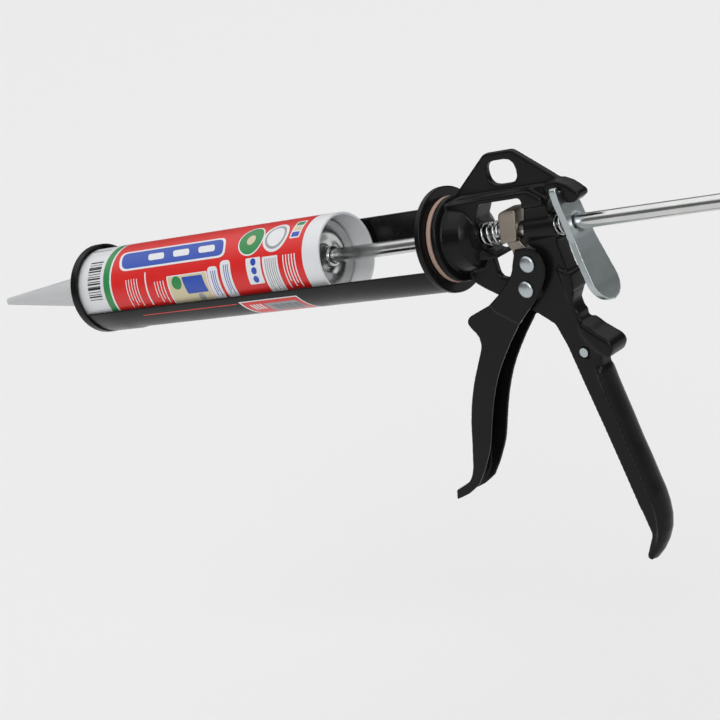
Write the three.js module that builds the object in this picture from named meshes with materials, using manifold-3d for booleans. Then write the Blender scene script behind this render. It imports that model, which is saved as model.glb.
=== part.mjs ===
// A caulking gun: cast body with handle, swivelling two-arm cradle, smooth push rod, squeeze
// trigger with a gripping block, release plate, and a sealant cartridge in the cradle.
//
// Millimetres. Everything is laid out about the push rod: X runs forward along the rod, with the
// rod's front end at 98, Y points to the gun's left and Z up. The finished group is then moved so
// that its origin is the centre of the hanging eye in the top of the body.

import * as THREE from 'three';
import { mergeVertices } from 'three/addons/utils/BufferGeometryUtils.js';
import Module from 'manifold-3d';

// ---------------------------------------------------------------- driving dimensions

const GAP = 0.3;                         // clearance left between pieces that touch

const ROD = { radius: 4.25, front: 98, tail: -288, bend: 12, hook: 26 };
const BORE = ROD.radius + 0.35;          // running hole for the rod

const EYE = { x: -53.5, z: 33.8, width: 20.4, height: 13.8, plate: 4.2 };
const BODY = { width: 16, column: 11, lowerWeb: 4.4, bump: 14, lug: 10.6, horn: 17, fillet: 8 };
const BARREL = { front: 10.8, frontEnd: -40.1, rear: 7.8, rearStart: -61.4, rearEnd: -82.6 };
const FLANGE = { radius: 24.8, rear: -13.2, front: -9.5 };

const CAP = { radius: 30.4, rear: -6.3, front: -2.6, edge: 0.9 };
const BOSS = { radius: 10, groove: 9, grooveRear: CAP.front + 1.7, grooveFront: CAP.front + 3.3, front: CAP.front + 4.5 };
const WASHER = { radius: 24.6, rear: -9.2, front: -6.6 };
const ARM = { inner: 25.9, outer: 27.3, rearOuter: 29.6, halfAngle: 25, rear: CAP.front + GAP };
const ARM_MIDDLE = { left: [-47, -47], right: [176, 172] };   // degrees about the rod, at the cap and at the ring
const ARM_TAB = { length: 30, angle: 5.2 };
const RING = { rear: 279, front: 285.5, outer: 28.2, inner: 26.8, face: 1.6, hole: 14 };

const TUBE = { rear: 74.7, shoulder: 283.2, outer: 25, inner: 23.5, neck: 9, neckBore: 6, neckFront: 295.2 };
const NOZZLE = { rear: 286.1, skirt: 12.6, skirtFront: 290.7, root: 11.2, tip: 377, tipRadius: 2.3 };
const PLUNGER = { rear: 251.2, length: 13, radius: 23.2 };
const PLATE = { radius: 22.4, rim: 88.5, thickness: 1.4, dish: 4.2, bore: 4.6 };

const PIVOT = { x: -54.7, z: -31.5, radius: 3.2, boss: 6.6 };
const DRIVE = { x: -60.2, z: -17.4, radius: 3.0, lift: 1.0 };
const RIVET = { head: 4.8, dome: 2.0 };
const CROSS_PIN = { x: -77.8, z: -72.2, radius: 2.7, length: 12.2 };
const TRIGGER = { ear: 10.2, cheek: 9.0, sheet: 1.8 };

const BLOCK = { halfWidth: 7, tailHalfWidth: 5 };
const RETURN_SPRING = { start: -42.8, end: -29.4, radius: 6.3, wire: 0.65, turns: 3.5 };
const RELEASE_SPRING = { start: -87.8, end: -76.8, radius: 5.6, wire: 0.65, turns: 3.5 };
const RELEASE = { thickness: 4.4, hole: 5.2, notch: 5.9, notchTop: 17.9 };

const ROUND = 36;                        // sides of a large turned piece
const SMALL_ROUND = 20;                  // sides of a pin, bore or rod
const RIVET_ROUND = 16;                  // sides of a rivet
const CORNER_STEPS = 3;                  // chords in a rounded corner

// ---------------------------------------------------------------- materials

const finish = (color, roughness, metalness) =>
  new THREE.MeshStandardMaterial({ color, roughness, metalness });
const BLACK_PAINT = finish(0x1d1d1e, 0.42, 0.1);
const ZINC = finish(0xa9b0b2, 0.35, 0.9);
const BRIGHT_STEEL = finish(0xc2c2be, 0.2, 1.0);
const SINTERED_STEEL = finish(0x5b534c, 0.6, 0.7);
const SPRING_STEEL = finish(0x8b938f, 0.3, 1.0);
const FIBRE = finish(0xa98f80, 0.85, 0.0);
const WHITE_PLASTIC = finish(0xd9dbdc, 0.45, 0.0);
const NOZZLE_PLASTIC = finish(0xb9babb, 0.5, 0.0);

// ---------------------------------------------------------------- solid helpers

const wasm = await Module();
wasm.setup();

// A geometry reduced to shared positions, without empty triangles, facing outwards.
const GRID = 1e4;                        // positions are rounded to a ten-thousandth, so that seams close
function closedBody(geometry) {
  const bare = geometry.clone();
  bare.deleteAttribute('normal');
  bare.deleteAttribute('uv');
  const loose = bare.attributes.position.array;
  loose.forEach((value, i) => {
    loose[i] = Math.round(value * GRID) / GRID;
  });
  const merged = mergeVertices(bare, 1e-4);
  const at = merged.attributes.position;
  const faces = [];
  let volume = 0;
  const a = new THREE.Vector3();
  const b = new THREE.Vector3();
  const c = new THREE.Vector3();
  for (let i = 0; i < merged.index.count; i += 3) {
    const [p, q, r] = [0, 1, 2].map((k) => merged.index.getX(i + k));
    if (p === q || q === r || r === p) continue;
    faces.push(p, q, r);
    a.fromBufferAttribute(at, p);
    b.fromBufferAttribute(at, q);
    c.fromBufferAttribute(at, r);
    volume += a.dot(b.cross(c));
  }
  if (volume < 0) faces.reverse();
  merged.setIndex(faces);
  return merged;
}

function toSolid(geometry) {
  const body = closedBody(geometry);
  return new wasm.Manifold(new wasm.Mesh({
    numProp: 3,
    vertProperties: Float32Array.from(body.attributes.position.array),
    triVerts: Uint32Array.from(body.index.array),
  }));
}

function toGeometry(solid) {
  const mesh = solid.getMesh();
  const geometry = new THREE.BufferGeometry();
  geometry.setAttribute('position', new THREE.Float32BufferAttribute(mesh.vertProperties, 3));
  geometry.setIndex(Array.from(mesh.triVerts));
  return geometry;
}

const join = (...parts) => parts.map(toSolid).reduce((whole, part) => whole.add(part));
const cut = (solid, ...parts) => parts.map(toSolid).reduce((whole, part) => whole.subtract(part), solid);

// Corner list [x, z, radius] to points, each stated radius rounded by a short curve.
function rounded(corners) {
  const points = [];
  corners.forEach(([x, z, radius = 0], i) => {
    const corner = new THREE.Vector2(x, z);
    if (radius === 0) {
      points.push(corner);
      return;
    }
    const before = new THREE.Vector2(...corners.at(i - 1).slice(0, 2)).sub(corner);
    const after = new THREE.Vector2(...corners[(i + 1) % corners.length].slice(0, 2)).sub(corner);
    const halfAngle = Math.acos(before.clone().normalize().dot(after.clone().normalize())) / 2;
    const reach = Math.min(radius / Math.tan(halfAngle), 0.48 * before.length(), 0.48 * after.length());
    const start = corner.clone().add(before.setLength(reach));
    const end = corner.clone().add(after.setLength(reach));
    points.push(...new THREE.QuadraticBezierCurve(start, corner, end).getPoints(CORNER_STEPS));
  });
  return points;
}

// A smooth line through a few points.
const smooth = (points, steps) =>
  new THREE.SplineCurve(points.map(([x, z]) => new THREE.Vector2(x, z))).getPoints(steps);

// A side-view outline in X and Z, made solid from yLow to yHigh.
function slab(points, yLow, yHigh) {
  const geometry = new THREE.ExtrudeGeometry(new THREE.Shape(points), {
    depth: yHigh - yLow,
    bevelEnabled: false,
    curveSegments: 1,
  });
  return geometry.rotateX(Math.PI / 2).translate(0, yHigh, 0);
}

const plate = (points, thickness) => slab(points, -thickness / 2, thickness / 2);

// An outline in Y and Z, made solid along X.
const ALONG_X = new THREE.Matrix4().makeBasis(
  new THREE.Vector3(0, 1, 0),
  new THREE.Vector3(0, 0, 1),
  new THREE.Vector3(1, 0, 0),
);
function bar(shape, xLow, xHigh) {
  const geometry = new THREE.ExtrudeGeometry(shape, { depth: xHigh - xLow, bevelEnabled: false, curveSegments: 8 });
  return geometry.applyMatrix4(ALONG_X).translate(xLow, 0, 0);
}

// Profiles turned about the rod: a list of [x, radius].
function turned(profile, sides = ROUND) {
  const points = profile.map(([x, radius]) => new THREE.Vector2(radius, x));
  return new THREE.LatheGeometry(points, sides).rotateZ(-Math.PI / 2);
}

// A closed ring-shaped profile turned about the rod.
const turnedRing = (profile, sides = ROUND) => turned([...profile, profile[0]], sides);

// Round bar along the rod, or across the gun.
const alongX = (radius, xLow, xHigh, sides = SMALL_ROUND) =>
  turned([[xLow, 0], [xLow, radius], [xHigh, radius], [xHigh, 0]], sides);
const across = (radius, x, z, halfLength, sides = SMALL_ROUND) =>
  new THREE.CylinderGeometry(radius, radius, 2 * halfLength, sides).translate(x, 0, z);

// Skin over a row of matching rings of points, closed by flat ends.
function loft(rings) {
  const sides = rings[0].length;
  const position = rings.flat().flatMap((p) => [p.x, p.y, p.z]);
  const index = [];
  for (let r = 0; r + 1 < rings.length; r += 1) {
    for (let s = 0; s < sides; s += 1) {
      const next = (s + 1) % sides;
      const [a, b] = [r * sides + s, r * sides + next];
      index.push(a, b, b + sides, a, b + sides, a + sides);
    }
  }
  const last = (rings.length - 1) * sides;
  for (let s = 1; s + 1 < sides; s += 1) {
    index.push(0, s + 1, s);
    index.push(last, last + s, last + s + 1);
  }
  const geometry = new THREE.BufferGeometry();
  geometry.setAttribute('position', new THREE.Float32BufferAttribute(position, 3));
  geometry.setIndex(index);
  return geometry;
}

// A ring of points about a place on a side-view path: section is a list of [out, y].
function ringAt(x, z, outX, outZ, section) {
  return section.map(([out, y]) => new THREE.Vector3(x + out * outX, y, z + out * outZ));
}

// ---------------------------------------------------------------- assembly

const gun = new THREE.Group();
gun.position.set(-EYE.x, 0, -EYE.z);

function node(name, shape, material) {
  const geometry = shape.isBufferGeometry ? closedBody(shape) : toGeometry(shape);
  const mesh = new THREE.Mesh(geometry, material);
  mesh.name = name;
  gun.add(mesh);
}

// ---------------------------------------------------------------- body casting

// Wide upper frame: top ledge, front wall behind the neck and the floor under the return spring.
const frameOutline = rounded([
  [-12, 21.3], [-71, 22.6, 3], [-79.2, 17.2, 2], [-79.2, 13, 1], [-44, 13], [BARREL.frontEnd, -12.5, 1], [-27, -12.5, 1], [-12, -12],
]);

// Step between the ledge and the thin web above it.
const filletOutline = rounded([[-13, 18], [-15, 22.2], [-22, 23.6], [-80, 23.6, 2], [-86, 20, 1], [-80, 14]]);

// Narrow rear column that runs on down into the handle.
const handleFront = [
  [-88.6, -181.4, 4], [-86, -167.1], [-81.4, -140.9], [-76.7, -114.9], [-71.8, -89.7], [-67.8, -67.9, 6], [-63.7, -54.6, 5],
];
const handleBack = [
  [-87.4, -58.7], [-91, -66, 2], [-86, -84], [-87.6, -101], [-89.8, -118], [-92.6, -136], [-96, -155], [-96.5, -170],
  [-93, -182], [-84, -197.5, 2], [-80.9, -194.8, 1.5],
];
const columnOutline = rounded([
  [-47, -27], [-58, 15], [-79.3, 17], [-79.4, -5], [-80.5, -18], [-81.7, -28], [-82, -38, 2], [-78.8, -42.8, 1],
  [-80.1, -48.2, 0.5], [-81.6, -49.4, 0.8], [-80.8, -53.5, 1], ...handleBack, ...handleFront,
  [-53.6, -46.9, 4], [-47, -43.5],
]);

// Thin lower web between the neck and the handle.
const lowerWebOutline = rounded([
  [-12.8, -10], [-70, -10], [-70, -45], [-53.6, -46.4], [-45, -44.2, 4], [-26.6, -34.4], [-20.1, -30.7], [-12.8, -25.6, 1],
]);

// Stop pad on the back of the column.
const bumpOutline = rounded([[-76, -23], [-83.3, -27, 2], [-83.3, -36, 2], [-77, -41]]);

// Thin upper web that carries the hanging eye.
const eyeWebOutline = rounded([
  [-12.8, 16], [-12.8, 20.6, 1], [-20.4, 27.2], [-44.5, 45.3, 5], [-63.7, 45.3, 6], [-89.8, 25.6], [-93.8, 22.1], [-84, 19.6], [-80, 14],
]);
const eyeOutline = rounded([
  [EYE.x + EYE.width / 2, EYE.z + EYE.height / 2, EYE.height / 2],
  [EYE.x - EYE.width / 2, EYE.z + EYE.height / 2, EYE.height / 2],
  [EYE.x - EYE.width / 2, EYE.z - EYE.height / 2, EYE.height / 2],
  [EYE.x + EYE.width / 2, EYE.z - EYE.height / 2, EYE.height / 2],
]);

// Hook at the top rear, whose lip drops behind the release plate.
const lugOutline = rounded([
  [-80, 19], [-82, 24.4, 1], [-89.8, 25.2, 1], [-96, 22.3, 2], [-102.6, 16.6, 2.5], [-102, 14, 1.5],
  [-97.5, 11.6, 1], [-92.3, 11.8, 0.6], [-92.3, 18.8], [-85, 18.8],
]);

// Opening through both sides for the gripping block, its spring and the drive rivet.
const windowOutline = rounded([
  [-36.2, 19.1, 2.5], [-66, 19.1, 2.5], [-58.1, -4.2, 1], [-60, -8], [-66, -12, 2], [-66.4, -24.4, 4], [-47, -26.4],
  [-37.4, -26.3, 1], [-33.6, -25.2, 1], [-31.9, -22.3], [-31.9, -12.5], [BARREL.frontEnd, -12.5], [BARREL.frontEnd, -10.2], [-34.6, -10.2, 1],
  [-30.2, -7.1, 1], [-28.5, -1.8, 1], [-28.9, 4], [-31, 11],
]);

// The thumb horn, as wide as the palm.
const hornOutline = rounded([
  [-80.8, -53, 2], [-87.4, -59.4, 3], [-97.6, -66.6, 4], [-99.6, -70.6, 3], [-94.4, -77.4, 4], [-88.6, -73.4, 3], [-79.6, -61.5],
]);

// The palm swell: half-round sections down the back of the handle, [back x, back z, half width].
const PALM_DEPTH = 5.2;
const PALM_HALF = 8.5;
const palmStations = [
  [-88.4, -82, 8.5], [-90.2, -96.4, 8.5], [-92.9, -112.4, 8.5], [-94.7, -125, 8.5], [-97.1, -137.7, 8.5], [-98.9, -149.2, 8.5],
  [-100.8, -161.9, 8.5], [-99.4, -177.9, 7.8], [-92.3, -190.4, 6.2], [-84.2, -197.6, 3.8],
];
function palmSection(halfWidth, depth) {
  const section = [];
  for (let step = 0; step <= 8; step += 1) {
    const angle = Math.PI * (step / 8 - 0.5);
    section.push([depth * (Math.cos(angle) - 1), halfWidth * Math.sin(angle)]);
  }
  return section;
}
function palm() {
  const line = new THREE.CatmullRomCurve3(palmStations.map(([x, z, half]) => new THREE.Vector3(x, half, z)));
  const steps = 16;
  const rings = [];
  for (let step = 0; step <= steps; step += 1) {
    const at = line.getPointAt(step / steps);
    const along = line.getTangentAt(step / steps);
    const out = new THREE.Vector2(along.z, -along.x).normalize();
    rings.push(ringAt(at.x, at.z, out.x, out.y, palmSection(at.y, PALM_DEPTH * at.y / PALM_HALF)));
  }
  return loft(rings);
}

const swivelBoss = turned([
  [-30, 0], [-30, 11], [-27, 15.5], [-24.5, 18], [FLANGE.rear, 20], [FLANGE.rear, FLANGE.radius - 0.8],
  [FLANGE.rear + 0.8, FLANGE.radius], [FLANGE.front - 0.6, FLANGE.radius], [FLANGE.front, FLANGE.radius - 0.6],
  [FLANGE.front, BOSS.radius], [BOSS.grooveRear, BOSS.radius], [BOSS.grooveRear, BOSS.groove],
  [BOSS.grooveFront, BOSS.groove], [BOSS.grooveFront, BOSS.radius], [BOSS.front, BOSS.radius], [BOSS.front, 0],
]);

const springSeat = (spring, from, to) => alongX(spring.radius + 1.4, from, to);

const casting = cut(
  join(
    plate(frameOutline, BODY.width),
    plate(filletOutline, BODY.fillet),
    plate(columnOutline, BODY.column),
    plate(lowerWebOutline, BODY.lowerWeb),
    plate(bumpOutline, BODY.bump),
    plate(eyeWebOutline, EYE.plate),
    plate(lugOutline, BODY.lug),
    plate(hornOutline, BODY.horn),
    alongX(BARREL.front, BARREL.frontEnd, -20, ROUND),
    alongX(BARREL.rear, BARREL.rearEnd, BARREL.rearStart, ROUND),
    across(PIVOT.boss, PIVOT.x, PIVOT.z, BODY.width / 2),
    palm(),
    swivelBoss,
  ),
  plate(windowOutline, 2 * BODY.width),
  plate(eyeOutline, 2 * EYE.plate),
  alongX(BORE, -90, BOSS.front + 1),
  springSeat(RETURN_SPRING, BARREL.frontEnd - 1, RETURN_SPRING.end + GAP),
  springSeat(RELEASE_SPRING, -90, RELEASE_SPRING.end + GAP),
  across(PIVOT.radius + GAP, PIVOT.x, PIVOT.z, BODY.width),
  across(CROSS_PIN.radius + GAP, CROSS_PIN.x, CROSS_PIN.z, BODY.width),
);
node('body_casting', casting, BLACK_PAINT);

// ---------------------------------------------------------------- rivets and pins

function domedRivet(shaftRadius, headFace) {
  const { head, dome } = RIVET;
  const half = [
    [shaftRadius, headFace], [head, headFace], [head * 0.97, headFace + 0.25 * dome],
    [head * 0.8, headFace + 0.65 * dome], [head * 0.45, headFace + 0.92 * dome], [0, headFace + dome],
  ];
  const lower = half.map(([radius, y]) => [radius, -y]).reverse();
  return new THREE.LatheGeometry([...lower, ...half].map(([r, y]) => new THREE.Vector2(r, y)), RIVET_ROUND);
}
const rivetHeadFace = TRIGGER.ear + GAP;
node('pivot_rivet', domedRivet(PIVOT.radius, rivetHeadFace).translate(PIVOT.x, 0, PIVOT.z), ZINC);
node('drive_rivet', domedRivet(DRIVE.radius, rivetHeadFace).translate(DRIVE.x, 0, DRIVE.z), ZINC);
node('handle_pin', across(CROSS_PIN.radius, CROSS_PIN.x, CROSS_PIN.z, CROSS_PIN.length / 2), ZINC);

// ---------------------------------------------------------------- trigger

// A pressed channel: two ears either side of the body, running down into a U that opens to the rear.
const earFront = smooth([[-54, -8.4], [-49.9, -16.1], [-46.6, -22.4], [-35.9, -31.6], [-25.9, -38.1]], 10);
const fingerFront = smooth([
  [-25.9, -38.3], [-13.9, -42.2], [-8.3, -44.4], [-6.5, -47.4], [-7.9, -50.9], [-11.1, -55.6], [-11.1, -61.8], [-6.7, -69.5],
  [1.5, -82.8], [7.6, -95.3], [12, -106.8], [15.4, -118.4], [20.1, -133.7],
], 36);
const toeFront = smooth([[21.9, -137.6], [25.1, -141.8], [30.6, -145.2], [37.1, -147.3]], 5);
const toeEnd = smooth([[38.8, -153.2], [28.7, -150.1], [19.8, -145]], 4);
const cheekRear = smooth([
  [13.6, -137.6], [6.5, -127.2], [2.3, -119.2], [-2.4, -107.7], [-8.6, -94.1], [-17.1, -79.6], [-29.2, -64.5], [-42, -51],
], 16);
const earRear = smooth([
  [-50.2, -44.8], [-59, -38.2], [-66.2, -30.3], [-69.8, -24.5], [-71, -17.6], [-67.9, -11.6], [-60.7, -8.4],
], 14);

// Moves each point of an open line inwards, square to the line there.
function inset(line, distance) {
  return line.map((point, i) => {
    const before = line[Math.max(i - 1, 0)];
    const after = line[Math.min(i + 1, line.length - 1)];
    const along = after.clone().sub(before).normalize();
    return new THREE.Vector2(point.x + along.y * distance, point.y - along.x * distance);
  });
}

const flat = (points) => points.map(([x, z]) => new THREE.Vector2(x, z));
const channelOutline = [...fingerFront, ...toeFront, ...toeEnd, ...cheekRear, ...flat([[-43.6, -49.6], [-44, -44], [-30, -38.2]])];
const earOutline = [...earFront, ...flat([[-28.6, -42.4], [-42.6, -51]]), ...earRear];
const channelHollow = [
  new THREE.Vector2(-46, -40.4),
  ...inset([...fingerFront, ...toeFront], TRIGGER.sheet),
  ...flat([[42, -150.6], [42, -160], [10, -160], [-60, -100]]),
];
const earHollow = flat([[-80, 0], [-20, 0], [-20, -33.1], [-60, -59.4], [-80, -59.4]]);
const trigger = cut(
  join(plate(channelOutline, 2 * TRIGGER.cheek), plate(earOutline, 2 * TRIGGER.ear)),
  plate(channelHollow, 2 * (TRIGGER.cheek - TRIGGER.sheet)),
  plate(earHollow, 2 * (TRIGGER.ear - TRIGGER.sheet)),
  across(PIVOT.radius + GAP, PIVOT.x, PIVOT.z, 2 * TRIGGER.ear),
  across(DRIVE.radius + GAP, DRIVE.x, DRIVE.z, 2 * TRIGGER.ear),
);
node('trigger_lever', trigger, BLACK_PAINT);

// ---------------------------------------------------------------- gripping block and springs

const blockHead = rounded([[-43.2, -4.8, 1], [-46.9, 12.9, 4], [-59.3, 12.9, 1.5], [-54.4, -4.8, 1]]);
const blockTail = rounded([
  [-45.6, -4], [-46.9, -8], [-48.3, -9.6, 1], [-48.3, -15], [-54, -21.5, 3], [-57, -23.4, 2], [-64.3, -23.4, 3], [-64.3, -14.2, 2],
  [-57.2, -9, 1], [-54.2, -4],
]);
const driveSlot = rounded([
  [DRIVE.x - 3.45, DRIVE.z - 3.5, 2], [DRIVE.x + 3.45, DRIVE.z - 3.5, 2],
  [DRIVE.x + 3.45, DRIVE.z + 3.5 + DRIVE.lift, 2], [DRIVE.x - 3.45, DRIVE.z + 3.5 + DRIVE.lift, 2],
]);
node('grip_block', cut(
  join(plate(blockHead, 2 * BLOCK.halfWidth), plate(blockTail, 2 * BLOCK.tailHalfWidth)),
  plate(driveSlot, 2 * BLOCK.halfWidth),
  alongX(BORE, -62, -42),
), SINTERED_STEEL);

class Coil extends THREE.Curve {
  constructor({ start, end, radius, wire, turns }) {
    super();
    this.size = { first: start + wire, travel: end - start - 2 * wire, radius, turns };
  }
  getPoint(t, target = new THREE.Vector3()) {
    const { first, travel, radius, turns } = this.size;
    const angle = 2 * Math.PI * turns * t;
    return target.set(first + travel * t, radius * Math.cos(angle), radius * Math.sin(angle));
  }
}

function coilSpring(size) {
  const section = new THREE.Shape().absarc(0, 0, size.wire, 0, 2 * Math.PI);
  return new THREE.ExtrudeGeometry(section, {
    steps: Math.round(size.turns * 12),
    curveSegments: 3,
    extrudePath: new Coil(size),
  });
}
node('return_spring', coilSpring(RETURN_SPRING), SPRING_STEEL);
node('release_spring', coilSpring(RELEASE_SPRING), SPRING_STEEL);

// ---------------------------------------------------------------- release plate

// A steel tongue that hangs behind the body from a notch under the lug, widening to a round foot.
const releaseRear = smooth([
  [-91, 21.8], [-91.3, 14], [-93.3, 4], [-95.5, -9], [-98, -20.5], [-100.8, -32], [-102.8, -39], [-104.6, -46],
], 12);
const releaseOutline = [...releaseRear, ...inset(releaseRear, -RELEASE.thickness).reverse()];
const releaseEdge = [[8, 22.4], [9.3, 20.4], [9.3, 3], [9.7, -9], [10.9, -20], [11.8, -32]];
const releaseWidth = new THREE.Shape();
releaseWidth.moveTo(-RELEASE.notch, RELEASE.notchTop);
releaseWidth.lineTo(RELEASE.notch, RELEASE.notchTop);
releaseWidth.lineTo(RELEASE.notch, 22.4);
releaseEdge.forEach(([y, z]) => releaseWidth.lineTo(y, z));
releaseWidth.absarc(0, -33.3, 11.8, 0, Math.PI, true);
[...releaseEdge].reverse().forEach(([y, z]) => releaseWidth.lineTo(-y, z));
releaseWidth.lineTo(-RELEASE.notch, 22.4);
node('release_plate', cut(
  toSolid(plate(releaseOutline, 30)).intersect(toSolid(bar(releaseWidth, -130, -80))),
  alongX(RELEASE.hole, -120, -80),
), ZINC);

// ---------------------------------------------------------------- swivel and cradle

node('friction_washer', turnedRing([
  [WASHER.rear, BOSS.radius + 0.4], [WASHER.rear, WASHER.radius], [WASHER.front, WASHER.radius], [WASHER.front, BOSS.radius + 0.4],
]), FIBRE);
node('wave_washer', turnedRing([
  [CAP.front + GAP, BOSS.radius + 0.4], [CAP.front + GAP, BOSS.radius + 5],
  [CAP.front + GAP + 1, BOSS.radius + 5], [CAP.front + GAP + 1, BOSS.radius + 0.4],
]), SPRING_STEEL);
node('retaining_ring', turnedRing([
  [BOSS.grooveRear + 0.2, BOSS.groove + GAP], [BOSS.grooveRear + 0.2, BOSS.radius + 3.5],
  [BOSS.grooveFront - 0.2, BOSS.radius + 3.5], [BOSS.grooveFront - 0.2, BOSS.groove + GAP],
]), SPRING_STEEL);

node('cradle_rear_cap', turnedRing([
  [CAP.rear, BOSS.radius + 0.4], [CAP.rear, CAP.radius - CAP.edge], [CAP.rear + CAP.edge, CAP.radius],
  [CAP.front - CAP.edge, CAP.radius], [CAP.front, CAP.radius - CAP.edge], [CAP.front, BOSS.radius + 0.4],
]), BLACK_PAINT);

const radians = THREE.MathUtils.degToRad;
function sector(middle, halfAngle, inner, outer) {
  const shape = new THREE.Shape();
  shape.absarc(0, 0, outer, radians(middle - halfAngle), radians(middle + halfAngle), false);
  shape.absarc(0, 0, inner, radians(middle + halfAngle), radians(middle - halfAngle), true);
  return shape;
}

// Spreads a bar about the rod towards its rear end, and turns it by an angle there.
function flared(geometry, xRear, xFront, spread, turn) {
  const at = geometry.attributes.position;
  const point = new THREE.Vector3();
  for (let i = 0; i < at.count; i += 1) {
    point.fromBufferAttribute(at, i);
    const share = (xFront - point.x) / (xFront - xRear);
    const scale = 1 + share * (spread - 1);
    point.set(point.x, point.y * scale, point.z * scale).applyAxisAngle(new THREE.Vector3(1, 0, 0), turn * share);
    at.setXYZ(i, point.x, point.y, point.z);
  }
  return geometry;
}

for (const [side, [atCap, atRing]] of Object.entries(ARM_MIDDLE)) {
  const end = RING.rear - GAP;
  const lower = side === 'left' ? atRing - ARM.halfAngle : atRing + ARM.halfAngle;
  const shapes = [
    bar(sector(atRing, ARM.halfAngle, ARM.inner, ARM.outer), ARM.rear, end),
    bar(sector(lower, ARM_TAB.angle, ARM.inner, ARM.outer), end - ARM_TAB.length, end),
  ];
  const spread = ARM.rearOuter / ARM.outer;
  node(`cradle_arm_${side}`, join(
    ...shapes.map((shape) => flared(shape, ARM.rear, end, spread, radians(atCap - atRing))),
  ), BLACK_PAINT);
}
node('cradle_front_ring', turnedRing([
  [RING.rear, RING.inner], [RING.rear, RING.outer], [RING.front - 1.2, RING.outer], [RING.front, RING.outer - 1.2],
  [RING.front, RING.hole], [RING.front - RING.face, RING.hole], [RING.front - RING.face, RING.inner],
]), BLACK_PAINT);

// ---------------------------------------------------------------- cartridge

node('cartridge_tube', turnedRing([
  [TUBE.rear, TUBE.inner], [TUBE.rear, TUBE.outer], [TUBE.shoulder - 2.5, TUBE.outer],
  [TUBE.shoulder, TUBE.outer - 2.5], [TUBE.shoulder, TUBE.neck], [TUBE.neckFront, TUBE.neck],
  [TUBE.neckFront, TUBE.neckBore], [TUBE.shoulder - 1.8, TUBE.neckBore], [TUBE.shoulder - 1.8, TUBE.inner - 2],
  [TUBE.shoulder - 3.8, TUBE.inner],
], 40), WHITE_PLASTIC);

const nozzleBore = TUBE.neck + 0.4;
const nozzleStep = TUBE.neckFront + 0.6;
node('cartridge_nozzle', turnedRing([
  [NOZZLE.rear, nozzleBore], [NOZZLE.rear, NOZZLE.skirt], [NOZZLE.skirtFront, NOZZLE.skirt],
  [NOZZLE.skirtFront + 1, NOZZLE.root], [NOZZLE.tip, NOZZLE.tipRadius], [NOZZLE.tip, NOZZLE.tipRadius - 1],
  [nozzleStep, 7.8], [nozzleStep, nozzleBore],
], 28), NOZZLE_PLASTIC);

const plungerEnd = PLUNGER.rear + PLUNGER.length;
node('cartridge_plunger', turned([
  [PLUNGER.rear + 5, 0], [PLUNGER.rear + 5, 14], [PLUNGER.rear + 2, 17], [PLUNGER.rear, 18],
  [PLUNGER.rear, PLUNGER.radius], [plungerEnd - 1.5, PLUNGER.radius], [plungerEnd, PLUNGER.radius - 1.5], [plungerEnd, 0],
]), WHITE_PLASTIC);

// ---------------------------------------------------------------- push rod

function pushRod() {
  const section = [];
  for (let side = 0; side < 16; side += 1) {
    const angle = 2 * Math.PI * side / 16;
    section.push([ROD.radius * Math.cos(angle), ROD.radius * Math.sin(angle)]);
  }
  const shrunk = (scale) => section.map(([out, y]) => [out * scale, y * scale]);
  const rings = [
    ringAt(ROD.front, 0, 0, 1, shrunk(0.82)),
    ringAt(ROD.front - 1, 0, 0, 1, section),
    ringAt(ROD.tail + ROD.bend, 0, 0, 1, section),
  ];
  for (let step = 1; step <= 8; step += 1) {
    const turn = Math.PI / 2 * step / 8;
    const x = ROD.tail + ROD.bend - ROD.bend * Math.sin(turn);
    const z = -ROD.bend + ROD.bend * Math.cos(turn);
    rings.push(ringAt(x, z, -Math.sin(turn), Math.cos(turn), section));
  }
  const foot = -ROD.bend - ROD.hook;
  rings.push(ringAt(ROD.tail, foot, -1, 0, section));
  rings.push(ringAt(ROD.tail, foot - 1.6, -1, 0, shrunk(0.85)));
  rings.push(ringAt(ROD.tail, foot - 2.4, -1, 0, shrunk(0.5)));
  return loft(rings);
}
node('push_rod', pushRod(), ZINC);

// A dished disc clamped between a hub behind it and a nut in front.
const { rim, thickness, dish } = PLATE;
node('pressure_plate', turnedRing([
  [rim + dish, PLATE.bore], [rim + dish, 9], [rim + 0.8, 14], [rim, PLATE.radius - 1], [rim + 0.5, PLATE.radius],
  [rim + thickness, PLATE.radius], [rim + thickness + 0.8, 14.4], [rim + dish + thickness, 9.4],
  [rim + dish + thickness, PLATE.bore],
]), BRIGHT_STEEL);
node('rod_hub', turnedRing([
  [84.6, PLATE.bore], [84.6, 5.6], [85.6, 6.6], [rim + dish - 1.2, 6.6], [rim + dish - GAP, 7.6], [rim + dish - GAP, PLATE.bore],
], SMALL_ROUND), BRIGHT_STEEL);
const nutRear = rim + dish + thickness + GAP;
const nutFront = ROD.front + 0.6;
node('rod_nut', cut(
  toSolid(turned([[nutRear, 0], [nutRear, 7.5], [nutFront, 7.5], [nutFront, 0]], 6)),
  alongX(PLATE.bore, nutRear - 1, nutFront + 1),
), ZINC);

export default gun;
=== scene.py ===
"""The looks of the caulking gun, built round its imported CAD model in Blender 4.5.

Lengths in the tables of this script are millimetres in the rod frame, as in part.mjs: X forward along
the push rod, whose front end is at 98, Y to the gun's left, Z up. place() turns them into the row frame,
in metres. Angles about the rod are in degrees from +Y towards +Z.
"""

import math

import bmesh
import bpy
from mathutils import Matrix, Vector


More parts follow.
